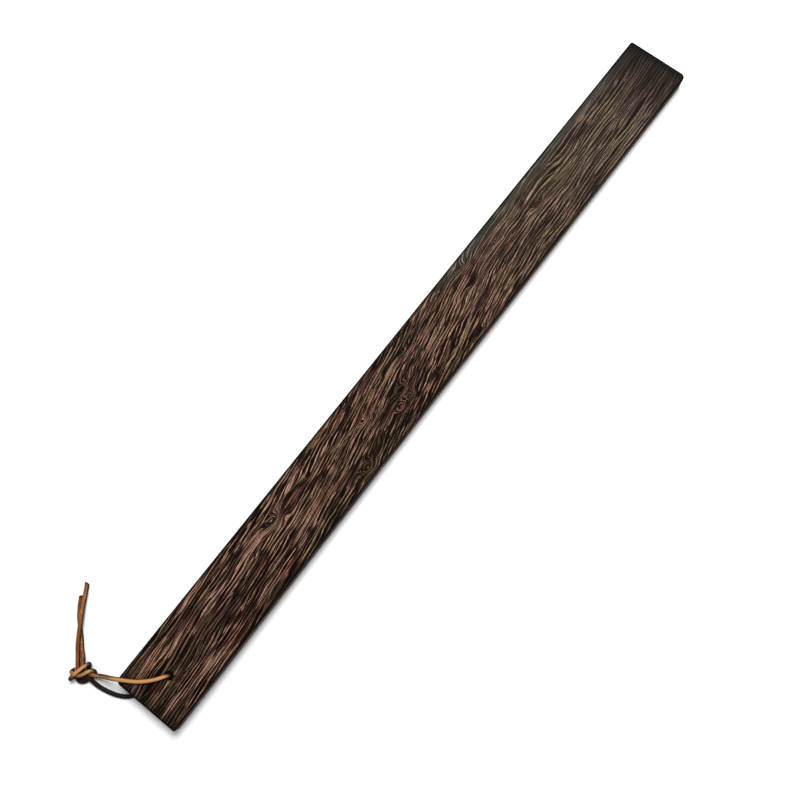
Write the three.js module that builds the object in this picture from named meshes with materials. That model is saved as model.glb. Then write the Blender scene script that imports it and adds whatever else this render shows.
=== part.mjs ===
// A flat hardwood slat with a leather thong through one hole near its end.
// The thong's two legs meet in a doubled overhand knot, and its two cut ends lie beside the slat.
//
// Frame, in millimetres: +X runs along the slat from the hole's end (near) to the other end (far),
// +Y across it, +Z up. Z = 0 is the surface that the slat and the thong lie on, and the origin is
// under the middle of the slat. The thong passes under the near end, so the slat leans on its far
// bottom edge and on the thong, a third of a degree off level.

import * as THREE from 'three';

// Slat
const slatLength = 500;
const slatWidth = 42;
const slatThickness = 10;
const edgeRounding = 0.8;
const nearRightCornerRadius = 1;
const nearLeftCornerRadius = 3;
const farLeftCornerRadius = 1.5;
const farRightCornerRadius = 3.2;
const holeDiameter = 5;
const holeFromNearEnd = 20;

// Thong
const thongDiameter = 2.5;
const thongSides = 8;
const liftAtHole = 2.9;

// Knot, a flattened lump that lies on the surface
const knotSides = 20;
const knotLayers = 12;
const knotCentre = new THREE.Vector3(-259.8, 40.1, 3.85);
const knotHalfSize = new THREE.Vector3(7, 6.3, 3.75);
const knotTurn = THREE.MathUtils.degToRad(-52.5);

// The slat's lean lifts its underside just clear of the thong where the thong turns up into the hole.
const holeX = -slatLength / 2 + holeFromNearEnd;
const leverLength = slatLength / 2 - holeX;
const lean = Math.atan2(liftAtHole, leverLength);

// Each stretch of thong is a list of points on its middle line, in the order that a hand would follow
// it out of the hole, or out of the knot to a cut end.
const upperLegRoute = [
  [-229.3, -0.55, 8.35],
  [-229.5, -0.25, 9.65],
  [-229.85, 0.15, 11.4],
  [-230.5, 0.7, 12.95],
  [-231.5, 1.5, 14.1],
  [-232.8, 2.45, 14.75],
  [-234.15, 3.4, 14.95],
  [-236.6, 5.4, 14.85],
  [-239.0, 7.7, 14.65],
  [-242.2, 11.5, 14.57],
  [-244.6, 15.2, 14.6],
  [-246.6, 18.6, 14.65],
  [-248.2, 21.2, 14.4],
  [-249.5, 23.3, 13.4],
  [-250.8, 25.3, 11.6],
  [-252.2, 27.5, 9.4],
  [-253.7, 29.7, 7.3],
  [-255.1, 31.7, 5.7],
  [-256.4, 33.65, 4.55],
];
const lowerLegRoute = [
  [-229.12, -0.38, 7.7],
  [-229.13, -0.38, 6.26],
  [-229.41, -0.26, 4.55],
  [-230.2, 0.09, 3.05],
  [-231.42, 0.63, 1.93],
  [-232.91, 1.29, 1.34],
  [-237.5, 3.3, 1.26],
  [-242.5, 5.5, 1.26],
  [-247.5, 7.7, 1.26],
  [-252.0, 10.2, 1.26],
  [-255.2, 13.4, 1.26],
  [-257.6, 17.8, 1.26],
  [-259.3, 23.0, 1.26],
  [-260.2, 28.0, 1.5],
  [-260.3, 30.5, 1.95],
  [-260.0, 33.3, 2.75],
];
const longTailRoute = [
  [-257.1, 46.5, 3.4],
  [-254.2, 49.2, 3.2],
  [-251.0, 52.0, 3.5],
  [-247.2, 54.7, 4.0],
  [-242.6, 57.9, 4.15],
  [-237.4, 61.5, 3.9],
  [-232.6, 64.9, 3.3],
  [-228.5, 67.7, 2.5],
  [-225.7, 69.7, 1.8],
  [-223.2, 71.5, 1.3],
];
const shortTailRoute = [
  [-255.4, 44.7, 2.2],
  [-254.15, 46.2, 1.6],
  [-252.7, 48.1, 1.3],
  [-249.8, 51.3, 1.26],
  [-246.8, 54.4, 1.26],
  [-243.2, 58.6, 1.26],
  [-239.1, 62.9, 1.26],
  [-234.85, 66.45, 1.26],
  [-230.5, 69.3, 1.26],
];

const wengeWood = new THREE.MeshStandardMaterial({ color: 0x2e211b, roughness: 0.5, metalness: 0 });
const tanLeather = new THREE.MeshStandardMaterial({ color: 0xb97a45, roughness: 0.6, metalness: 0 });
const darkLeather = new THREE.MeshStandardMaterial({ color: 0x3a2a22, roughness: 0.6, metalness: 0 });

// A rectangle along X with its own radius at each corner, counter-clockwise from the near right corner.
function slatOutline() {
  const halfLength = slatLength / 2;
  const halfWidth = slatWidth / 2;
  const corners = [
    { x: -halfLength, y: -halfWidth, inX: 1, inY: 1, radius: nearRightCornerRadius, start: Math.PI },
    { x: halfLength, y: -halfWidth, inX: -1, inY: 1, radius: farRightCornerRadius, start: 1.5 * Math.PI },
    { x: halfLength, y: halfWidth, inX: -1, inY: -1, radius: farLeftCornerRadius, start: 0 },
    { x: -halfLength, y: halfWidth, inX: 1, inY: -1, radius: nearLeftCornerRadius, start: 0.5 * Math.PI },
  ];
  const outline = new THREE.Shape();
  for (const corner of corners) {
    const centreX = corner.x + corner.inX * corner.radius;
    const centreY = corner.y + corner.inY * corner.radius;
    outline.absarc(centreX, centreY, corner.radius, corner.start, corner.start + Math.PI / 2);
  }
  return outline;
}

// The bevel rounds the slat's long and short edges and both mouths of the hole.
function makeSlat() {
  const outline = slatOutline();
  const hole = new THREE.Path();
  hole.absarc(holeX, 0, holeDiameter / 2, 0, 2 * Math.PI, true);
  outline.holes.push(hole);
  const geometry = new THREE.ExtrudeGeometry(outline, {
    depth: slatThickness - 2 * edgeRounding,
    bevelThickness: edgeRounding,
    bevelSize: edgeRounding,
    bevelOffset: -edgeRounding,
    bevelSegments: 3,
    curveSegments: 8,
  });
  geometry.translate(-slatLength / 2, 0, edgeRounding);
  const mesh = new THREE.Mesh(geometry, wengeWood);
  mesh.name = 'slat';
  return mesh;
}

// A round cord along a route, with one step for each diameter of its length.
function makeThongStretch(name, route, material) {
  const curve = new THREE.CatmullRomCurve3(route.map((point) => new THREE.Vector3(...point)));
  const section = new THREE.Shape();
  section.absarc(0, 0, thongDiameter / 2, 0, 2 * Math.PI);
  const geometry = new THREE.ExtrudeGeometry(section, {
    steps: Math.round(curve.getLength() / thongDiameter),
    curveSegments: thongSides / 2, // a full circle is drawn with twice as many
    extrudePath: curve,
  });
  const mesh = new THREE.Mesh(geometry, material);
  mesh.name = name;
  return mesh;
}

function makeKnot() {
  const geometry = new THREE.SphereGeometry(1, knotSides, knotLayers);
  const mesh = new THREE.Mesh(geometry, tanLeather);
  mesh.name = 'thong_knot';
  mesh.position.copy(knotCentre);
  mesh.rotation.z = knotTurn;
  mesh.scale.copy(knotHalfSize);
  return mesh;
}

// The slat turns about its far bottom edge.
const leaningSlat = new THREE.Group();
leaningSlat.position.x = slatLength / 2;
leaningSlat.rotation.y = lean;
leaningSlat.add(makeSlat());

const part = new THREE.Group();
part.add(leaningSlat);
part.add(makeThongStretch('thong_upper_leg', upperLegRoute, tanLeather));
part.add(makeThongStretch('thong_lower_leg', lowerLegRoute, darkLeather));
part.add(makeKnot());
part.add(makeThongStretch('thong_long_tail', longTailRoute, tanLeather));
part.add(makeThongStretch('thong_short_tail', shortTailRoute, tanLeather));

export default part;
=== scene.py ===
import math

import bmesh
import bpy
from mathutils import Matrix, Vector, noise


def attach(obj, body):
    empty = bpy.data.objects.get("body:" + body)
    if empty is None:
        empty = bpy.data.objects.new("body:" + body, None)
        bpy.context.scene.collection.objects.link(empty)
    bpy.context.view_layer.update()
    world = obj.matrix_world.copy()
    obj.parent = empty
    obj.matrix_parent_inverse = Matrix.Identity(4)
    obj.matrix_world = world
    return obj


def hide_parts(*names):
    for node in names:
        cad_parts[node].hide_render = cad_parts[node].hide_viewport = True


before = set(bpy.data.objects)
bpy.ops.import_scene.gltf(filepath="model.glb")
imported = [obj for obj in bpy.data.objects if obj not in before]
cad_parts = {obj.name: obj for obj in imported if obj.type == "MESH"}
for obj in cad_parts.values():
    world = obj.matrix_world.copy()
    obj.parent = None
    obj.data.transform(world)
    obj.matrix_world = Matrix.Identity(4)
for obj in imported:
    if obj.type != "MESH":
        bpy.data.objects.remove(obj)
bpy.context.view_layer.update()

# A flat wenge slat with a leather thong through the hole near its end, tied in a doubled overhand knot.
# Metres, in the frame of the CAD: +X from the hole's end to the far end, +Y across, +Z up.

# Camera
CAMERA_PLACE = Vector((-0.11956, -0.07386, 0.48078))
CAMERA_ELEVATION = math.radians(76.74)
CAMERA_AZIMUTH = math.radians(308.10)
CAMERA_ROLL = math.radians(-0.61)
CAMERA_LENS = 37.2
CAMERA_SENSOR = 36
CAMERA_CLIP_START = 0.01

# Slat
SLAT_LENGTH = 0.500
SLAT_WIDTH = 0.042
SLAT_THICKNESS = 0.010
EDGE_ROUNDING = 0.0008
NEAR_LEFT_CORNER = 0.003
NEAR_RIGHT_CORNER = 0.001
FAR_LEFT_CORNER = 0.0015
FAR_RIGHT_CORNER = 0.0032
HOLE_RADIUS = 0.0025
HOLE_X = -0.230
LIFT_AT_HOLE = 0.0029

# Slat mesh: a grid of cells on each broad face, RIM in from the outline, with a square block round the
# hole. The hole's rings go from that square to the circle; their shares say how much square is left.
RIM = 0.0045
HOLE_BLOCK = 0.008
BLOCK_CELLS = 8
CELLS_BEFORE_BLOCK = 4
CELLS_BEYOND_BLOCK = 116
CELLS_BESIDE_BLOCK = 4
HOLE_RING_SHARES = (0.55, 0.25)
CORNER_STEPS = 6
ROUNDING_STEPS = 5
WALL_STEPS = 4
SMALLEST_CORNER = 0.00005

# Thong
THONG_DIAMETER = 0.0025
THONG_SIDES = 24
TUBE_STEP = 0.0003
# The tube's thickness varies by this share, and by less within EVEN_END of its ends.
UNEVENNESS = 0.05
UNEVEN_WAVES = 300
EVEN_END = 0.003
STRAND_SEED_STEP = 0.5
# A cut end flares and slants over CUT_LENGTH and darkens over CUT_DARK.
CUT_LENGTH = 0.0015
CUT_FLARE = 0.12
CUT_SLANT = 0.5
CUT_DARK = 0.0012
CAP_SHARES = (0.85, 0.45)
KNOT_CENTRE = Vector((-0.2598, 0.0401, 0))
KNOT_ACROSS = Vector((0.609, -0.793, 0))
KNOT_AWAY = Vector((0.793, 0.609, 0))

# The middle line of each stretch, out of the hole or out of the knot. The last number is the
# leather's tone there: 0 is nearly black, 0.5 brown, 1 golden tan and 1.5 greenish grey. In the
# knot the same scale also carries painted shade and a painted highlight.
UPPER_LEG = [
    (-0.2293, -0.00055, 0.00835, 0.6),
    (-0.2295, -0.00025, 0.00965, 0.7),
    (-0.22985, 0.00015, 0.0114, 0.8),
    (-0.2305, 0.0007, 0.01295, 0.9),
    (-0.2315, 0.0015, 0.0141, 1.0),
    (-0.2328, 0.00245, 0.01475, 1.0),
    (-0.23415, 0.0034, 0.01495, 1.0),
    (-0.2366, 0.0054, 0.01485, 1.0),
    (-0.2390, 0.0077, 0.01465, 1.0),
    (-0.2422, 0.0115, 0.01457, 1.0),
    (-0.2446, 0.0152, 0.0146, 0.95),
    (-0.2466, 0.0186, 0.01465, 0.9),
    (-0.2482, 0.0212, 0.0144, 0.85),
    (-0.2495, 0.0233, 0.0134, 0.8),
    (-0.2508, 0.0253, 0.0116, 0.8),
    (-0.2522, 0.0275, 0.0094, 0.75),
    (-0.2537, 0.0297, 0.0073, 0.7),
    (-0.2551, 0.0317, 0.0057, 0.7),
    (-0.2564, 0.03365, 0.00455, 0.7),
]
LOWER_LEG = [
    (-0.22912, -0.00038, 0.0077, 0.3),
    (-0.22913, -0.00038, 0.00626, 0.2),
    (-0.22941, -0.00026, 0.00455, 0.1),
    (-0.2302, 0.00009, 0.00305, 0.05),
    (-0.23142, 0.00063, 0.00193, 0.05),
    (-0.23291, 0.00129, 0.00134, 0.05),
    (-0.2375, 0.0033, 0.00126, 0.05),
    (-0.2425, 0.0055, 0.00126, 0.05),
    (-0.2475, 0.0077, 0.00126, 0.05),
    (-0.2520, 0.0102, 0.00126, 0.05),
    (-0.2552, 0.0134, 0.00126, 0.05),
    (-0.2576, 0.0178, 0.00126, 0.06),
    (-0.2593, 0.0230, 0.00126, 0.06),
    (-0.2602, 0.0280, 0.0015, 0.05),
    (-0.2603, 0.0305, 0.00195, 0.05),
    (-0.2600, 0.0333, 0.00275, 0.05),
]
LONG_TAIL = [
    (-0.2571, 0.0465, 0.0034, 0.5),
    (-0.2542, 0.0492, 0.0032, 0.5),
    (-0.2510, 0.0520, 0.0035, 0.5),
    (-0.2472, 0.0547, 0.0040, 0.5),
    (-0.2426, 0.0579, 0.00415, 0.55),
    (-0.2374, 0.0615, 0.0039, 0.6),
    (-0.2326, 0.0649, 0.0033, 0.6),
    (-0.2285, 0.0677, 0.0025, 0.6),
    (-0.2257, 0.0697, 0.0018, 0.55),
    (-0.2232, 0.0715, 0.0013, 0.5),
]
SHORT_TAIL = [
    (-0.2554, 0.0447, 0.0022, 0.5),
    (-0.25415, 0.0462, 0.0016, 0.55),
    (-0.2527, 0.0481, 0.0013, 0.6),
    (-0.2498, 0.0513, 0.00126, 0.6),
    (-0.2468, 0.0544, 0.00126, 0.55),
    (-0.2432, 0.0586, 0.00126, 0.5),
    (-0.2391, 0.0629, 0.00126, 0.45),
    (-0.23485, 0.06645, 0.00126, 0.45),
    (-0.2305, 0.0693, 0.00126, 0.4),
]

# The knot's two strands run side by side: in from a leg, once round and through, and out to a tail.
# Their points are across, away and up from KNOT_CENTRE, then the tone. The tone paints light here:
# near black in the knot's bottom layer is painted shade, and greenish grey on its turns is a painted
# highlight.
KNOT_FROM_UPPER_LEG = [
    (0.00719, -0.00123, 0.00455, 0.7),
    (0.0056, -0.0009, 0.0042, 0.6),
    (0.0034, -0.0002, 0.0037, 0.5),
    (0.0012, 0.0007, 0.0029, 0.4),
    (-0.0012, 0.0014, 0.0018, 0.4),
    (-0.0036, 0.0017, 0.00135, 0.7),
    (-0.0054, 0.0015, 0.0017, 1.2),
    (-0.0062, 0.0009, 0.0030, 1.4),
    (-0.0058, 0.0005, 0.0044, 1.4),
    (-0.0045, -0.0001, 0.0052, 1.2),
    (-0.0028, -0.0008, 0.0053, 0.8),
    (-0.0008, -0.0011, 0.0056, 0.65),
    (0.0013, -0.0004, 0.0061, 0.75),
    (0.0032, 0.0006, 0.0062, 0.9),
    (0.0047, 0.0012, 0.0058, 1.3),
    (0.0058, 0.0012, 0.0049, 1.5),
    (0.0063, 0.0006, 0.0036, 1.2),
    (0.0060, -0.0004, 0.0022, 0.2),
    (0.0050, -0.0017, 0.0014, 0.05),
    (0.0034, -0.0031, 0.00128, 0.0),
    (0.0015, -0.0042, 0.00135, 0.0),
    (-0.0004, -0.0047, 0.0016, 0.0),
    (-0.0021, -0.0043, 0.0021, 0.0),
    (-0.0030, -0.0027, 0.0029, 0.1),
    (-0.0030, -0.0006, 0.0035, 0.3),
    (-0.0029, 0.0020, 0.0036, 0.45),
    (-0.0032, 0.0043, 0.0035, 0.5),
    (-0.00343, 0.00604, 0.0034, 0.5),
]
KNOT_FROM_LOWER_LEG = [
    (0.00527, -0.00430, 0.00275, 0.05),
    (0.0046, -0.0035, 0.0035, 0.05),
    (0.0030, -0.0024, 0.0039, 0.05),
    (0.0010, -0.0017, 0.0033, 0.1),
    (-0.0012, -0.0012, 0.0020, 0.1),
    (-0.0034, -0.0013, 0.00135, 0.05),
    (-0.0053, -0.0020, 0.0015, 0.0),
    (-0.0063, -0.0027, 0.0026, 0.0),
    (-0.0064, -0.0031, 0.0040, 0.05),
    (-0.0056, -0.0025, 0.0054, 0.0),
    (-0.0043, -0.0013, 0.0065, 0.45),
    (-0.0026, 0.0002, 0.0071, 0.9),
    (-0.0007, 0.0018, 0.0070, 0.95),
    (0.0011, 0.0033, 0.0064, 1.0),
    (0.0023, 0.0043, 0.0056, 1.45),
    (0.0031, 0.0047, 0.0044, 1.5),
    (0.0031, 0.0042, 0.0031, 1.0),
    (0.0026, 0.0032, 0.0019, 0.15),
    (0.0021, 0.0017, 0.00135, 0.1),
    (0.0018, -0.0004, 0.00128, 0.0),
    (0.0010, -0.0023, 0.0014, 0.0),
    (-0.0002, -0.0028, 0.0022, 0.0),
    (-0.0008, -0.0014, 0.0032, 0.2),
    (-0.0007, 0.0006, 0.0036, 0.4),
    (-0.0008, 0.0026, 0.0035, 0.5),
    (-0.0009, 0.0046, 0.0028, 0.5),
    (-0.0010, 0.0063, 0.0022, 0.5),
]


# Wood grain, in millimetres in the slat's own frame. The grain lines are the contour lines of a growth
# surface. They climb across the slat at GRAIN_SLOPE, to which one stretch adds RISE and the next adds
# FALL, and they lean over through the slat's thickness.
MM = 1000
GRAIN_SLOPE = 0.085
RISE = 26.0
RISE_SPAN = (-130.0, 90.0)
FALL = -7.0
FALL_SPAN = (90.0, 260.0)
LEAN_WITH_HEIGHT = 0.9
# The surface's waves: size along, across and down, then height.
WAVES = [
    ((90, 20, 20), 9.0),
    ((30, 7, 7), 3.0),
    ((10, 2.6, 2.6), 1.0),
]
# Where the grain swirls: along and across the slat, half sizes along and across, and strength.
SWIRLS = [
    (-132.0, 8.5, 6.0, 2.8, 8.0),
    (-126.0, 5.0, 4.0, 2.0, -3.0),
    (-101.5, 8.0, 4.0, 1.6, 2.4),
    (-75.0, -15.5, 4.6, 3.0, 10.0),
    (-55.0, 3.0, 4.5, 1.8, 3.0),
    (-26.0, -3.0, 6.0, 2.3, 5.5),
    (-35.0, -9.0, 3.6, 2.4, 8.0),
    (-27.0, -9.0, 3.2, 2.2, 7.0),
    (-7.0, 10.0, 7.0, 2.2, 3.0),
    (31.0, -18.5, 6.0, 2.0, 2.0),
    (52.0, 4.0, 5.0, 1.8, 3.0),
    (57.0, 15.0, 7.0, 2.6, 3.0),
    (118.0, 2.5, 5.0, 1.8, 3.4),
]
SWIRL_HALF_DEPTH = 8.0
# Patterns in the grain change with depth at this share of their rate, and patches turn this share of
# the way from the slat's own direction to the grain's.
DEPTH_SHARE = 0.3
PATCH_TURN = 0.4

# Between one contour line and the next lie a pale line and a dark groove, at these shares of the way.
# Each reach is the distance at which it starts and the distance at which it is full.
LINE_SPACING = 2.0
LINE_AT = 0.42
LINE_REACH = (0.14, 0.04)
GROOVE_AT = 0.76
GROOVE_REACH = (0.30, 0.14)
# A second, finer set lies where a noise has these values.
SECOND_LINE_AT = 0.48
SECOND_LINE_REACH = (0.03, 0.01)
SECOND_GROOVE_AT = 0.55
SECOND_GROOVE_REACH = (0.035, 0.015)

# Sizes of the wood's noises, along, across and down
PATCH_SIZE = (24, 2.6, 6)
RAGGED_SIZE = (7.0, 0.6, 3)
LINE_BRIGHTNESS_SIZE = (26.0, LINE_SPACING / 0.9, 20.0)
SECOND_LINE_SIZE = (42, 1.0, 4)
PORE_SIZE = (9.0, 0.5, 3)
OLIVE_SIZE = (40, 8, 8)
RUST_SIZE = (24, 5, 5)
RUST_SHIFT = (300, 40, 0)
FLECK_SIZE = (14, 1.2, 4)
SHADE_SIZE = (32, 4.0, 8)
MOTTLE_SIZE = (1.8, 0.5, 1.0)

# Where things change along or across the slat, from the first place to the second
FAR_SPAN = (-10.0, 190.0)
FLECKS_SPAN = (-230.0, -130.0)
SHADE_SPAN_ALONG = (0.0, -120.0)
SHADE_SPAN_ACROSS = (6.0, -14.0)
# The cool band along the far part of the left edge is a painted sheen
SHEEN_SPAN_ALONG = (10.0, 60.0)
SHEEN_SPAN_ACROSS = (12.0, 19.0)
FAR_END_SPAN = (190.0, 249.0)
LAST_OF_NEAR_END_SPAN = (-241.0, -249.5)
LAST_OF_FAR_END_SPAN = (242.0, 249.5)
# Distances in from the slat's faces
END_GRAIN_REACH = (0.3, 0.05)
# The painted shade on the rounded edges reaches this far in
EDGE_SHADE_REACH = (1.8, 0.8)

# Wood colours, as screen values from 0 to 255
NEAR_LINE = (182, 141, 119)
NEAR_LINE_OLIVE = (168, 135, 104)
NEAR_LINE_RUST = (158, 100, 80)
FAR_LINE = (160, 136, 118)
FAR_LINE_OLIVE = (156, 137, 110)
NEAR_PATCH = (53, 26, 19)
NEAR_PATCH_OLIVE = (43, 26, 14)
NEAR_PATCH_RUST = (74, 34, 25)
FAR_PATCH = (66, 51, 43)
FAR_PATCH_OLIVE = (61, 53, 40)
FAR_PATCH_RUST = (80, 50, 38)
NEAR_DARK = (10, 3, 1)
NEAR_DARK_OLIVE = (8, 5, 1)
FAR_DARK = (28, 21, 15)
# Painted sheen along the far part of the left edge
PAINTED_SHEEN_BAND = (66, 72, 66)
FAR_END = (24, 20, 20)
# Near black for the last millimetres of both ends, and painted shade on the rounded edges
DARK_ENDS_AND_EDGE_SHADE = (10, 7, 6)

# Leather: sizes of its noises along and across the cord in millimetres, their shares in the tone, and
# its colours as screen values
LEATHER_MOTTLE_SIZE = (2.2, 0.9, 0.9)
LEATHER_STREAK_SIZE = (9.0, 0.6, 0.6)
LEATHER_SPECKLE_SIZE = (0.7, 0.45, 0.45)
LEATHER_MOTTLE_SHARE = 0.4
LEATHER_STREAK_SHARE = 0.6
LEATHER_SPECKLE_SHARE = 0.5
# Near black is the lower leg's own colour, and painted shade in the knot's bottom layer
LEATHER_BLACK_AND_SHADE = (18, 14, 11)
LEATHER_BROWN = (120, 64, 28)
LEATHER_TAN = (188, 138, 84)
# Greenish grey is a painted highlight on the knot's turns
LEATHER_GREY_HIGHLIGHT = (100, 98, 80)
LEATHER_PINK = (190, 126, 100)
# Painted shade for the cord's sides and underside
LEATHER_SIDE_SHADE = (34, 17, 8)
LEATHER_CUT = (26, 24, 20)

# Floor and light
FLOOR_REACH = 3
FLOOR_WAVES = (0.3, 0.3, 0.3)
FLOOR_DARKEST = (0.93, 0.93, 0.93, 1)
FLOOR_PALEST = (0.95, 0.95, 0.95, 1)
WINDOW_PLACE = (0.54, 0.22, 1.75)
WINDOW_AIM = (0, 0, 0)
WINDOW_SIZE = 0.65
WINDOW_POWER = 34
SKY_COLOUR = (1, 1, 1, 1)
SKY_STRENGTH = 0.42


# Node building

class Graph:
    """Adds nodes to one material. Each method returns the new node's output."""

    def __init__(self, material):
        material.use_nodes = True
        self.tree = material.node_tree
        self.shader = self.tree.nodes.get("Principled BSDF")

    def add(self, kind, **settings):
        made = self.tree.nodes.new(kind)
        for name, value in settings.items():
            setattr(made, name, value)
        return made

    def put(self, value, socket):
        if isinstance(value, bpy.types.NodeSocket):
            self.tree.links.new(value, socket)
        else:
            socket.default_value = value

    def math(self, operation, first, second=0.0, third=0.0):
        made = self.add("ShaderNodeMath", operation=operation)
        for value, socket in zip((first, second, third), made.inputs):
            self.put(value, socket)
        return made.outputs[0]

    def vector(self, operation, first, second):
        made = self.add("ShaderNodeVectorMath", operation=operation)
        self.put(first, made.inputs[0])
        self.put(second, made.inputs[1])
        return made.outputs["Value" if operation == "DOT_PRODUCT" else "Vector"]

    def split(self, vector):
        made = self.add("ShaderNodeSeparateXYZ")
        self.put(vector, made.inputs[0])
        return made.outputs

    def join(self, x, y, z):
        made = self.add("ShaderNodeCombineXYZ")
        for value, socket in zip((x, y, z), made.inputs):
            self.put(value, socket)
        return made.outputs[0]

    def noise(self, place, size, detail=2.0, roughness=0.5):
        """Noise from about 0.25 to 0.75 whose features are size long in X, Y and Z."""
        scaled = self.vector("DIVIDE", place, size)
        made = self.add("ShaderNodeTexNoise")
        self.put(scaled, made.inputs["Vector"])
        self.put(1.0, made.inputs["Scale"])
        self.put(detail, made.inputs["Detail"])
        self.put(roughness, made.inputs["Roughness"])
        return made.outputs["Fac"]

    def span(self, value, start, end, low=0.0, high=1.0):
        """Goes smoothly from low to high while value goes from start to end."""
        made = self.add("ShaderNodeMapRange", interpolation_type="SMOOTHSTEP")
        for given, name in zip(
            (value, start, end, low, high), ("Value", "From Min", "From Max", "To Min", "To Max")
        ):
            self.put(given, made.inputs[name])
        return made.outputs["Result"]

    def beside(self, value, place, reach):
        """0 where value is further from place than the first reach, and 1 where nearer than the second."""
        return self.span(self.math("ABSOLUTE", self.math("SUBTRACT", value, place)), *reach)

    def mix(self, factor, first, second, blend="MIX"):
        """Mixes colours, which are inputs 6 and 7 and output 2 of the node."""
        made = self.add("ShaderNodeMix", data_type="RGBA", blend_type=blend)
        self.put(factor, made.inputs["Factor"])
        self.put(first, made.inputs[6])
        self.put(second, made.inputs[7])
        return made.outputs[2]

    def bump(self, height, strength, distance):
        made = self.add("ShaderNodeBump")
        self.put(strength, made.inputs["Strength"])
        self.put(distance, made.inputs["Distance"])
        self.put(height, made.inputs["Height"])
        self.put(made.outputs[0], self.shader.inputs["Normal"])


def colour(screen):
    """A colour given as its three screen values from 0 to 255."""
    def linear(value):
        value = value / 255
        return value / 12.92 if value <= 0.04045 else ((value + 0.055) / 1.055) ** 2.4
    return (*[linear(value) for value in screen], 1)


# Materials

def growth_surface(g, place, x, y, z):
    """How high the slat's material lies in the growth surface whose contour lines are the grain."""
    rise = g.span(x, *RISE_SPAN, high=RISE)
    fall = g.span(x, *FALL_SPAN, high=FALL)
    climb = g.math("MULTIPLY_ADD", x, GRAIN_SLOPE, g.math("ADD", rise, fall))
    level = g.math("SUBTRACT", y, climb)
    level = g.math("MULTIPLY_ADD", z, LEAN_WITH_HEIGHT, level)
    for size, height in WAVES:
        wave = g.math("SUBTRACT", g.noise(place, size, detail=1.0), 0.5)
        level = g.math("MULTIPLY_ADD", wave, height, level)
    for along, across, half_along, half_across, strength in SWIRLS:
        offset = g.vector("SUBTRACT", place, (along, across, SLAT_THICKNESS * MM))
        offset = g.vector("DIVIDE", offset, (half_along, half_across, SWIRL_HALF_DEPTH))
        near = g.math("EXPONENT", g.math("MULTIPLY", g.vector("DOT_PRODUCT", offset, offset), -1.0))
        level = g.math("MULTIPLY_ADD", near, strength, level)
    return level


def lines_and_grooves(g, x, level, z, in_grain):
    """Thin pale lines and the dark groove beside each. A line's own brightness changes along it."""
    phase = g.math("FRACT", g.math("DIVIDE", level, LINE_SPACING))
    brightness = g.noise(g.join(x, level, z), LINE_BRIGHTNESS_SIZE, roughness=0.6)
    brightness = g.span(brightness, 0.36, 0.56)
    line = g.math("MULTIPLY", g.beside(phase, LINE_AT, LINE_REACH), brightness)
    groove = g.beside(phase, GROOVE_AT, GROOVE_REACH)
    groove = g.math("MULTIPLY", groove, g.math("MULTIPLY_ADD", brightness, 0.5, 0.5))
    second = g.noise(in_grain, SECOND_LINE_SIZE, detail=1.0)
    second_line = g.beside(second, SECOND_LINE_AT, SECOND_LINE_REACH)
    second_groove = g.beside(second, SECOND_GROOVE_AT, SECOND_GROOVE_REACH)
    line = g.math("MAXIMUM", line, g.math("MULTIPLY", second_line, 0.8))
    return line, g.math("MAXIMUM", groove, second_groove)


def wood_colours(g, place, far):
    """Pinkish brown with olive and rust stretches, for the lines, the patches and the dark ground."""
    olive = g.span(g.noise(place, OLIVE_SIZE), 0.45, 0.6)
    rust = g.span(g.noise(g.vector("ADD", place, RUST_SHIFT), RUST_SIZE), 0.5, 0.66)
    line = g.mix(olive, colour(NEAR_LINE), colour(NEAR_LINE_OLIVE))
    line = g.mix(g.math("MULTIPLY", rust, 0.7), line, colour(NEAR_LINE_RUST))
    line = g.mix(far, line, g.mix(olive, colour(FAR_LINE), colour(FAR_LINE_OLIVE)))
    patch = g.mix(olive, colour(NEAR_PATCH), colour(NEAR_PATCH_OLIVE))
    patch = g.mix(rust, patch, colour(NEAR_PATCH_RUST))
    far_patch = g.mix(olive, colour(FAR_PATCH), colour(FAR_PATCH_OLIVE))
    far_patch = g.mix(g.math("MULTIPLY", rust, 0.6), far_patch, colour(FAR_PATCH_RUST))
    patch = g.mix(far, patch, far_patch)
    dark = g.mix(olive, colour(NEAR_DARK), colour(NEAR_DARK_OLIVE))
    return line, patch, g.mix(far, dark, colour(FAR_DARK))


def with_dark_places(g, grain, dark, x, y, beside_grain, far):
    """Adds small dark flecks, most of them in the near half but few by the hole. Then whole areas of the
    figure get darker, most of all towards the near end's right side."""
    flecks = g.span(g.noise(beside_grain, FLECK_SIZE, detail=1.0), 0.45, 0.38)
    flecks = g.math("MULTIPLY", flecks, g.math("MULTIPLY_ADD", far, -0.75, 0.9))
    flecks = g.math("MULTIPLY", flecks, g.span(x, *FLECKS_SPAN, low=0.4))
    grain = g.mix(flecks, grain, dark)

    near_right = g.math("MULTIPLY", g.span(x, *SHADE_SPAN_ALONG), g.span(y, *SHADE_SPAN_ACROSS))
    areas = g.noise(beside_grain, SHADE_SIZE, roughness=0.6)
    areas = g.math("MULTIPLY_ADD", near_right, -0.04, areas)
    shade = g.span(areas, 0.41, 0.50, 0.68, 0.0)
    shade = g.math("MULTIPLY", shade, g.math("MULTIPLY_ADD", far, -0.6, 1.0))
    return g.mix(shade, grain, dark)


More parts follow.
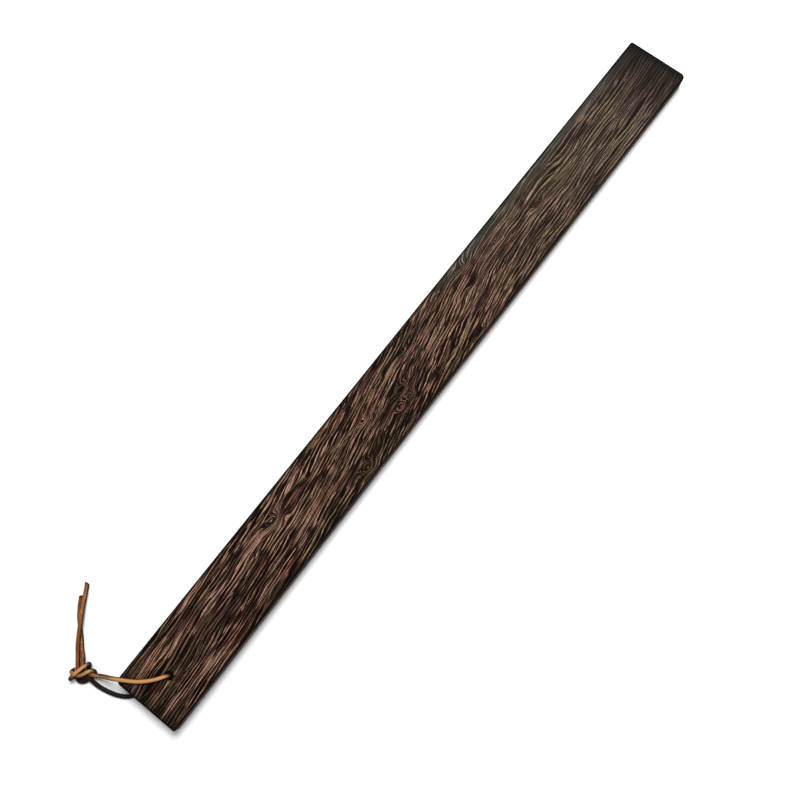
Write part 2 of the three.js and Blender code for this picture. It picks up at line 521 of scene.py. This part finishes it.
def with_sheen_band_and_dark_ends(g, grain, x, y):
    """Adds a cooler band along the far part of the left edge, which is a painted sheen, and a darker,
    smoother far end. The last few millimetres of both ends are darker still."""
    # Painted sheen: a greenish grey band along the far part of the left edge
    sheen_band = g.math("MULTIPLY", g.span(y, *SHEEN_SPAN_ACROSS), g.span(x, *SHEEN_SPAN_ALONG))
    grain = g.mix(g.math("MULTIPLY", sheen_band, 0.35), grain, colour(PAINTED_SHEEN_BAND))
    grain = g.mix(g.span(x, *FAR_END_SPAN, high=0.8), grain, colour(FAR_END))
    near_end = g.span(x, *LAST_OF_NEAR_END_SPAN, high=0.6)
    far_end = g.span(x, *LAST_OF_FAR_END_SPAN, high=0.6)
    return g.mix(g.math("MAXIMUM", near_end, far_end), grain, colour(DARK_ENDS_AND_EDGE_SHADE))


def with_dark_end_grain_and_edge_shade(g, grain, dark, x, y, z):
    """Makes the end grain darker, and paints shade on the rounded edges."""
    half_size = [size * MM / 2 for size in (SLAT_LENGTH, SLAT_WIDTH, SLAT_THICKNESS)]
    from_middle = [g.math("ABSOLUTE", value) for value in (x, y, g.math("SUBTRACT", z, half_size[2]))]

    def close_to_face(axis, reach):
        start, full = reach
        return g.span(from_middle[axis], half_size[axis] - start, half_size[axis] - full)

    end_grain = close_to_face(0, END_GRAIN_REACH)
    grain = g.mix(g.math("MULTIPLY", end_grain, 0.3), grain, dark)
    # Painted shade along the rounded edges, where two faces meet
    ends, sides, broad_faces = [close_to_face(axis, EDGE_SHADE_REACH) for axis in range(3)]
    edge_shade = g.math("MULTIPLY", ends, sides)
    edge_shade = g.math("MAXIMUM", edge_shade, g.math("MULTIPLY", sides, broad_faces))
    edge_shade = g.math("MAXIMUM", edge_shade, g.math("MULTIPLY", broad_faces, ends))
    return g.mix(g.math("MULTIPLY", edge_shade, 0.9), grain, colour(DARK_ENDS_AND_EDGE_SHADE))


def wood_material():
    """Wood whose grain runs through the whole slat, so it carries on over the edges and the end grain."""
    material = bpy.data.materials.new("wenge_wood")
    g = Graph(material)
    own = g.add("ShaderNodeTexCoord").outputs["Object"]
    place = g.vector("MULTIPLY", own, (MM, MM, MM))
    x, y, z = g.split(place)
    level = growth_surface(g, place, x, y, z)
    far = g.span(x, *FAR_SPAN)
    depth = g.math("MULTIPLY", z, DEPTH_SHARE)
    in_grain = g.join(x, level, depth)
    half_turned = g.math("MULTIPLY_ADD", g.math("SUBTRACT", level, y), PATCH_TURN, y)
    beside_grain = g.join(x, half_turned, depth)

    # Brown patches with ragged ends, which are the pale layer where it is cut at a low slope
    patches = g.noise(beside_grain, PATCH_SIZE, roughness=0.6)
    ragged = g.math("SUBTRACT", g.noise(in_grain, RAGGED_SIZE, roughness=0.6), 0.5)
    patches = g.math("MULTIPLY_ADD", ragged, 0.6, patches)
    patch = g.span(patches, g.math("MULTIPLY_ADD", far, -0.1, 0.49), 0.57)

    # Grooves and fine dark pores lie over the patches, and the pale lines over all of them
    line, groove = lines_and_grooves(g, x, level, z, in_grain)
    line_colour, patch_colour, dark = wood_colours(g, place, far)
    pore_gap = g.span(g.noise(in_grain, PORE_SIZE), 0.43, 0.53, low=0.1)
    line_strength = g.math("MULTIPLY_ADD", far, -0.2, 0.95)
    grain = g.mix(patch, dark, patch_colour)
    grain = g.mix(g.math("MULTIPLY", groove, 0.9), grain, dark)
    grain = g.mix(pore_gap, dark, grain)
    grain = g.mix(g.math("MULTIPLY", line, line_strength), grain, line_colour)

    grain = with_dark_places(g, grain, dark, x, y, beside_grain, far)
    mottle = g.span(g.noise(in_grain, MOTTLE_SIZE, roughness=0.6), 0.35, 0.65, 0.7, 1.2)
    grain = g.mix(1.0, grain, g.join(mottle, mottle, mottle), "MULTIPLY")
    grain = with_sheen_band_and_dark_ends(g, grain, x, y)
    grain = with_dark_end_grain_and_edge_shade(g, grain, dark, x, y, z)

    g.put(grain, g.shader.inputs["Base Color"])
    g.put(g.math("MULTIPLY_ADD", line, 0.1, 0.6), g.shader.inputs["Roughness"])
    g.put(0.03, g.shader.inputs["Specular IOR Level"])
    g.bump(g.math("ADD", line, patch), strength=0.3, distance=0.0001)
    return material


def leather_material(name):
    """Leather whose brown follows the tone attribute, with painted shade on its sides and underside, and
    darker at its cut ends.
    """
    material = bpy.data.materials.new(name)
    g = Graph(material)
    tone_and_painted_light = g.add("ShaderNodeAttribute", attribute_name="tone_and_painted_light").outputs["Fac"]
    cut = g.add("ShaderNodeAttribute", attribute_name="cut").outputs["Fac"]
    laid = g.add("ShaderNodeAttribute", attribute_name="laid_straight").outputs["Vector"]
    laid = g.vector("MULTIPLY", laid, (MM, MM, MM))
    up = g.split(g.add("ShaderNodeNewGeometry").outputs["Normal"])[2]

    mottle = g.noise(laid, LEATHER_MOTTLE_SIZE, detail=3.0, roughness=0.6)
    streak = g.noise(laid, LEATHER_STREAK_SIZE)
    speckle = g.noise(laid, LEATHER_SPECKLE_SIZE, roughness=0.6)
    shares = (
        (mottle, LEATHER_MOTTLE_SHARE),
        (streak, LEATHER_STREAK_SHARE),
        (speckle, LEATHER_SPECKLE_SHARE),
    )
    for pattern, share in shares:
        tone_and_painted_light = g.math("MULTIPLY_ADD", g.math("SUBTRACT", pattern, 0.5), share, tone_and_painted_light)
    # Low tones give near black: the lower leg's own colour, and painted shade in the knot's bottom layer
    brown = g.mix(g.span(tone_and_painted_light, 0.12, 0.48), colour(LEATHER_BLACK_AND_SHADE), colour(LEATHER_BROWN))
    brown = g.mix(g.span(tone_and_painted_light, 0.45, 1.0), brown, colour(LEATHER_TAN))
    # The highest tones give greenish grey, a painted highlight on the knot's turns
    brown = g.mix(g.span(tone_and_painted_light, 1.1, 1.5), brown, colour(LEATHER_GREY_HIGHLIGHT))
    pink = g.math("MULTIPLY", g.span(speckle, 0.5, 0.62), g.span(tone_and_painted_light, 0.5, 0.9, high=0.6))
    brown = g.mix(pink, brown, colour(LEATHER_PINK))
    # Painted shade: where the surface turns from up towards the sides and underside, it takes the dark
    # side colour
    brown = g.mix(g.span(up, 0.42, 0.97), colour(LEATHER_SIDE_SHADE), brown)
    brown = g.mix(cut, brown, colour(LEATHER_CUT))

    g.put(brown, g.shader.inputs["Base Color"])
    g.put(g.math("MULTIPLY_ADD", mottle, 0.25, 0.42), g.shader.inputs["Roughness"])
    g.put(0.1, g.shader.inputs["Specular IOR Level"])
    g.bump(g.math("ADD", speckle, g.math("MULTIPLY", streak, 0.8)), strength=0.5, distance=0.00012)
    return material


def floor_material():
    material = bpy.data.materials.new("pale_floor")
    g = Graph(material)
    soft = g.noise(g.add("ShaderNodeTexCoord").outputs["Object"], FLOOR_WAVES)
    g.put(g.mix(soft, FLOOR_DARKEST, FLOOR_PALEST), g.shader.inputs["Base Color"])
    g.put(0.9, g.shader.inputs["Roughness"])
    g.put(0.1, g.shader.inputs["Specular IOR Level"])
    return material


# Slat mesh

def slat_outline(inset, side_stations, end_stations):
    """The slat's outline, moved in by inset: the sides' and ends' points, with an arc at each corner."""
    half_length = SLAT_LENGTH / 2
    half_width = SLAT_WIDTH / 2
    near_left, near_right = NEAR_LEFT_CORNER, NEAR_RIGHT_CORNER
    far_right, far_left = FAR_RIGHT_CORNER, FAR_LEFT_CORNER

    def arc(centre_x, centre_y, radius, start):
        bend = max(radius - inset, SMALLEST_CORNER)
        for step in range(CORNER_STEPS + 1):
            angle = start + math.pi / 2 * step / CORNER_STEPS
            yield Vector((centre_x + bend * math.cos(angle), centre_y + bend * math.sin(angle), 0))

    points = []
    points += [Vector((x, -half_width + inset, 0)) for x in side_stations]
    points += arc(half_length - far_right, -half_width + far_right, far_right, -math.pi / 2)
    points += [Vector((half_length - inset, y, 0)) for y in end_stations]
    points += arc(half_length - far_left, half_width - far_left, far_left, 0)
    points += [Vector((x, half_width - inset, 0)) for x in reversed(side_stations)]
    points += arc(-half_length + near_left, half_width - near_left, near_left, math.pi / 2)
    points += [Vector((-half_length + inset, y, 0)) for y in reversed(end_stations)]
    points += arc(-half_length + near_right, -half_width + near_right, near_right, math.pi)
    return points


def stations(start, end, cells):
    """Evenly spaced places from start to end."""
    return [start + (end - start) * step / cells for step in range(cells + 1)]


def bridge(mesh, outer, inner, flip=False):
    """Joins two rings of as many vertices by quads, or by triangles where a vertex is repeated."""
    for here, _ in enumerate(outer):
        there = (here + 1) % len(outer)
        corners = list(dict.fromkeys([outer[here], outer[there], inner[there], inner[here]]))
        if len(corners) > 2:
            mesh.faces.new(corners[::-1] if flip else corners)


def rounding():
    """Steps round an edge, from the broad face to the wall: how far from the wall and from the face."""
    steps = []
    for step in range(ROUNDING_STEPS + 1):
        angle = math.pi / 2 * step / ROUNDING_STEPS
        steps.append((EDGE_ROUNDING * (1 - math.sin(angle)), EDGE_ROUNDING * (1 - math.cos(angle))))
    return steps


def face_grid(mesh, xs, ys, height, flip):
    """A grid of quads at that height, open where the block round the hole is."""
    block_i = range(CELLS_BEFORE_BLOCK, CELLS_BEFORE_BLOCK + BLOCK_CELLS)
    block_j = range(CELLS_BESIDE_BLOCK, CELLS_BESIDE_BLOCK + BLOCK_CELLS)
    grid = {}
    for i, x in enumerate(xs):
        for j, y in enumerate(ys):
            if not (i in block_i[1:] and j in block_j[1:]):
                grid[i, j] = mesh.verts.new((x, y, height))
    for i in range(len(xs) - 1):
        for j in range(len(ys) - 1):
            if not (i in block_i and j in block_j):
                quad = [grid[i, j], grid[i + 1, j], grid[i + 1, j + 1], grid[i, j + 1]]
                mesh.faces.new(quad[::-1] if flip else quad)
    return grid


def rounded_rim(mesh, grid, xs, ys, height, inward, flip):
    """From the grid's border out to the slat's outline and round its edge. Returns the last ring."""
    # Each corner vertex is repeated once for each point of the outline's arc.
    last_i, last_j = len(xs) - 1, len(ys) - 1
    repeat = CORNER_STEPS + 1
    ring = [grid[i, 0] for i in range(1, last_i)] + [grid[last_i, 0]] * repeat
    ring += [grid[last_i, j] for j in range(1, last_j)] + [grid[last_i, last_j]] * repeat
    ring += [grid[i, last_j] for i in range(last_i - 1, 0, -1)] + [grid[0, last_j]] * repeat
    ring += [grid[0, j] for j in range(last_j - 1, 0, -1)] + [grid[0, 0]] * repeat
    for inset, drop in rounding():
        points = slat_outline(inset, xs[1:-1], ys[1:-1])
        outer = [mesh.verts.new((p.x, p.y, height + inward * drop)) for p in points]
        bridge(mesh, outer, ring, flip)
        ring = outer
    return ring


def hole_mouth(mesh, grid, height, inward, flip):
    """From the square block inwards to the hole's mouth and round into the bore. Returns the last ring."""
    first, low, n = CELLS_BEFORE_BLOCK, CELLS_BESIDE_BLOCK, BLOCK_CELLS
    keys = [(first + k, low) for k in range(n)] + [(first + n, low + k) for k in range(n)]
    keys += [(first + n - k, low + n) for k in range(n)] + [(first, low + n - k) for k in range(n)]
    bore = [grid[key] for key in keys]
    square = [Vector((v.co.x, v.co.y, 0)) for v in bore]
    middle = Vector((HOLE_X, 0, 0))
    rings = [(share, HOLE_RADIUS + EDGE_ROUNDING, 0) for share in HOLE_RING_SHARES]
    rings += [(0, HOLE_RADIUS + inset, drop) for inset, drop in rounding()]
    for share, radius, drop in rings:
        inner = []
        for number, corner in enumerate(square):
            angle = 2 * math.pi * number / len(square) - 3 * math.pi / 4
            round_point = middle + radius * Vector((math.cos(angle), math.sin(angle), 0))
            point = round_point.lerp(corner, share)
            inner.append(mesh.verts.new((point.x, point.y, height + inward * drop)))
        bridge(mesh, bore, inner, flip)
        bore = inner
    return bore


def wall(mesh, upper, lower, flip):
    """Bands of quads from the top's ring down to the underside's."""
    above = upper
    for step in range(1, WALL_STEPS):
        share = step / WALL_STEPS
        below = [mesh.verts.new(a.co.lerp(b.co, share)) for a, b in zip(upper, lower)]
        bridge(mesh, above, below, flip)
        above = below
    bridge(mesh, above, lower, flip)


def slat_piece():
    """The slat in its own frame, underside at Z = 0: two broad faces with rounded edges, the walls
    between them and a bore with rounded mouths."""
    half_length = SLAT_LENGTH / 2
    half_width = SLAT_WIDTH / 2
    xs = stations(-half_length + RIM, HOLE_X - HOLE_BLOCK, CELLS_BEFORE_BLOCK)
    xs += stations(HOLE_X - HOLE_BLOCK, HOLE_X + HOLE_BLOCK, BLOCK_CELLS)[1:]
    xs += stations(HOLE_X + HOLE_BLOCK, half_length - RIM, CELLS_BEYOND_BLOCK)[1:]
    ys = stations(-half_width + RIM, -HOLE_BLOCK, CELLS_BESIDE_BLOCK)
    ys += stations(-HOLE_BLOCK, HOLE_BLOCK, BLOCK_CELLS)[1:]
    ys += stations(HOLE_BLOCK, half_width - RIM, CELLS_BESIDE_BLOCK)[1:]

    mesh = bmesh.new()
    rims = []
    bores = []
    for height, inward, flip in ((SLAT_THICKNESS, -1, False), (0, 1, True)):
        grid = face_grid(mesh, xs, ys, height, flip)
        rims.append(rounded_rim(mesh, grid, xs, ys, height, inward, flip))
        bores.append(hole_mouth(mesh, grid, height, inward, flip))
    wall(mesh, *rims, flip=True)
    wall(mesh, *bores, flip=False)
    bmesh.ops.recalc_face_normals(mesh, faces=mesh.faces)
    return finished_mesh(mesh, "wooden_slat")


def finished_mesh(mesh, name):
    """Turns a bmesh into a smooth-shaded object of that name."""
    data = bpy.data.meshes.new(name)
    mesh.to_mesh(data)
    mesh.free()
    for polygon in data.polygons:
        polygon.use_smooth = True
    piece = bpy.data.objects.new(name, data)
    bpy.context.scene.collection.objects.link(piece)
    return piece


def slat_lean():
    """The slat leans on its far bottom edge, lifted by the thong under its near end."""
    lean = math.atan2(LIFT_AT_HOLE, SLAT_LENGTH / 2 - HOLE_X)
    far_edge = Vector((SLAT_LENGTH / 2, 0, 0))
    turn = Matrix.Rotation(lean, 4, "Y")
    return Matrix.Translation(far_edge) @ turn @ Matrix.Translation(-far_edge)


# Thong meshes

def smooth_route(points, step):
    """Points about step apart on the smooth curve through points, whose last number is carried along."""
    points = [Vector(p) for p in points]
    line = []
    ends = [points[0] * 2 - points[1]] + points + [points[-1] * 2 - points[-2]]
    for a, b, c, d in zip(ends, ends[1:], ends[2:], ends[3:]):
        times = [0.0]
        for before, after in ((a, b), (b, c), (c, d)):
            gap = (after.to_3d() - before.to_3d()).length
            times.append(times[-1] + math.sqrt(gap))
        t0, t1, t2, t3 = times
        count = max(2, round((c.to_3d() - b.to_3d()).length / step))
        for number in range(count):
            t = t1 + (t2 - t1) * number / count
            ab = a.lerp(b, (t - t0) / (t1 - t0))
            bc = b.lerp(c, (t - t1) / (t2 - t1))
            cd = c.lerp(d, (t - t2) / (t3 - t2))
            abc = ab.lerp(bc, (t - t0) / (t2 - t0))
            bcd = bc.lerp(cd, (t - t1) / (t3 - t1))
            line.append(abc.lerp(bcd, (t - t1) / (t2 - t1)))
    line.append(points[-1])
    return line


def sweep(mesh, layers, line, seed, cut_end):
    """Adds a closed round tube along line. A cut end is slanted, a little flared and dark."""
    centres = [p.to_3d() for p in line]
    tangent = (centres[1] - centres[0]).normalized()
    side = tangent.orthogonal().normalized()
    rings = []
    run = 0.0
    total = sum((b - a).length for a, b in zip(centres, centres[1:]))
    for number, centre in enumerate(centres):
        before = centres[max(number - 1, 0)]
        after = centres[min(number + 1, len(centres) - 1)]
        new_tangent = (after - before).normalized()
        side = (tangent.rotation_difference(new_tangent) @ side).normalized()
        side = (side - new_tangent * side.dot(new_tangent)).normalized()
        tangent = new_tangent
        other = tangent.cross(side)
        if number:
            run += (centre - centres[number - 1]).length
        to_end = total - run
        uneven = min(run, to_end, EVEN_END) / EVEN_END
        flare = 1.0
        slant = 0.0
        if cut_end and to_end < CUT_LENGTH:
            flare += CUT_FLARE * (1 - to_end / CUT_LENGTH)
            slant = CUT_SLANT * (1 - to_end / CUT_LENGTH)
        ring = []
        for corner in range(THONG_SIDES):
            angle = 2 * math.pi * corner / THONG_SIDES
            out = side * math.cos(angle) + other * math.sin(angle)
            bumps = noise.noise(Vector((run * UNEVEN_WAVES + seed, math.cos(angle), math.sin(angle))))
            radius = THONG_DIAMETER / 2 * flare * (1 + UNEVENNESS * uneven * bumps)
            point = centre + out * radius + tangent * slant * math.cos(angle) * radius
            vert = mesh.verts.new(point)
            vert[layers["tone_and_painted_light"]] = line[number][3]
            vert[layers["cut"]] = max(0.0, 1 - to_end / CUT_DARK) if cut_end else 0.0
            vert[layers["laid"]] = (run + seed, radius * math.cos(angle), radius * math.sin(angle))
            ring.append(vert)
        rings.append(ring)
    for ring, following in zip(rings, rings[1:]):
        bridge(mesh, ring, following)
    for ring, outward in ((rings[0], -1), (rings[-1], 1)):
        cap(mesh, layers, ring, outward)


def cap(mesh, layers, ring, outward):
    """Closes a tube's end with rings of quads round a middle vertex."""
    middle = sum((v.co for v in ring), Vector()) / len(ring)
    outer = ring
    for share in CAP_SHARES:
        inner = [mesh.verts.new(middle.lerp(v.co, share)) for v in ring]
        for new, old in zip(inner, ring):
            for layer in layers.values():
                new[layer] = old[layer]
        bridge(mesh, outer, inner, flip=outward < 0)
        outer = inner
    centre = mesh.verts.new(middle)
    for layer in layers.values():
        centre[layer] = ring[0][layer]
    for here, _ in enumerate(outer):
        there = (here + 1) % len(outer)
        corners = [outer[here], outer[there], centre]
        mesh.faces.new(corners if outward > 0 else corners[::-1])


def thong_piece(name, lines, seed, cut_end=False):
    """A piece of one or more tubes. Its attributes hold the tone, partly painted light in the knot, and
    the place along the cord.
    """
    mesh = bmesh.new()
    layers = {
        "tone_and_painted_light": mesh.verts.layers.float.new("tone_and_painted_light"),
        "cut": mesh.verts.layers.float.new("cut"),
        "laid": mesh.verts.layers.float_vector.new("laid_straight"),
    }
    for number, line in enumerate(lines):
        sweep(mesh, layers, line, seed + STRAND_SEED_STEP * number, cut_end)
    bmesh.ops.recalc_face_normals(mesh, faces=mesh.faces)
    return finished_mesh(mesh, name)


def in_knot(points):
    """Points given across, away and up from the knot's centre, in the frame of the CAD."""
    placed = []
    for across, away, up, tone_and_painted_light in points:
        place = KNOT_CENTRE + KNOT_ACROSS * across + KNOT_AWAY * away
        placed.append((place.x, place.y, up, tone_and_painted_light))
    return placed


# Camera

def make_camera():
    data = bpy.data.cameras.new("camera")
    data.sensor_width = CAMERA_SENSOR
    data.lens = CAMERA_LENS
    data.clip_start = CAMERA_CLIP_START
    camera = bpy.data.objects.new("camera", data)
    level = math.cos(CAMERA_ELEVATION)
    forward = Vector((
        -math.sin(CAMERA_AZIMUTH) * level,
        math.cos(CAMERA_AZIMUTH) * level,
        -math.sin(CAMERA_ELEVATION),
    ))
    facing = forward.to_track_quat("-Z", "Y").to_matrix().to_4x4()
    roll = Matrix.Rotation(CAMERA_ROLL, 4, "Z")
    camera.matrix_world = Matrix.Translation(CAMERA_PLACE) @ facing @ roll
    bpy.context.scene.collection.objects.link(camera)
    bpy.context.scene.camera = camera


make_camera()

# Cords

tan_leather = leather_material("tan_leather")
dark_leather = leather_material("dark_leather")

knot_strands = (KNOT_FROM_UPPER_LEG, KNOT_FROM_LOWER_LEG)
knot_lines = [smooth_route(in_knot(points), TUBE_STEP) for points in knot_strands]
knot = thong_piece("thong_knot_strands", knot_lines, seed=3.0)
knot.data.materials.append(tan_leather)
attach(knot, "root")
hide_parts("thong_knot")


def thong_stretch(name, node, points, seed, material, far_end):
    line = smooth_route(points, TUBE_STEP)
    piece = thong_piece(name, [line], seed, cut_end=far_end == "bare")
    piece.data.materials.append(material)
    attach(piece, "root")
    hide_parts(node)


thong_stretch(
    "upper_leg_of_thong", "thong_upper_leg", UPPER_LEG,
    seed=1.0, material=tan_leather,
    far_end="knot",
)
thong_stretch(
    "lower_leg_of_thong", "thong_lower_leg", LOWER_LEG,
    seed=2.0, material=dark_leather,
    far_end="knot",
)
thong_stretch(
    "long_tail_of_thong", "thong_long_tail", LONG_TAIL,
    seed=4.0, material=tan_leather,
    far_end="bare",
)
thong_stretch(
    "short_tail_of_thong", "thong_short_tail", SHORT_TAIL,
    seed=5.0, material=tan_leather,
    far_end="bare",
)

# Slat

slat = slat_piece()
slat.matrix_world = slat_lean()
slat.data.materials.append(wood_material())
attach(slat, "root")
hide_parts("slat")

# Floor and lights

floor_mesh = bmesh.new()
bmesh.ops.create_grid(floor_mesh, x_segments=1, y_segments=1, size=FLOOR_REACH)
floor = finished_mesh(floor_mesh, "floor")
floor.data.materials.append(floor_material())


def make_light(name, place, aim, size, power):
    data = bpy.data.lights.new(name, "AREA")
    data.size = size
    data.energy = power
    light = bpy.data.objects.new(name, data)
    light.location = place
    light.rotation_euler = (Vector(aim) - Vector(place)).to_track_quat("-Z", "Y").to_euler()
    bpy.context.scene.collection.objects.link(light)


make_light("window", WINDOW_PLACE, WINDOW_AIM, WINDOW_SIZE, WINDOW_POWER)

world = bpy.data.worlds.new("studio")
world.use_nodes = True
sky = world.node_tree.nodes["Background"]
sky.inputs["Color"].default_value = SKY_COLOUR
sky.inputs["Strength"].default_value = SKY_STRENGTH
bpy.context.scene.world = world
bpy.context.scene.view_settings.view_transform = "Standard"
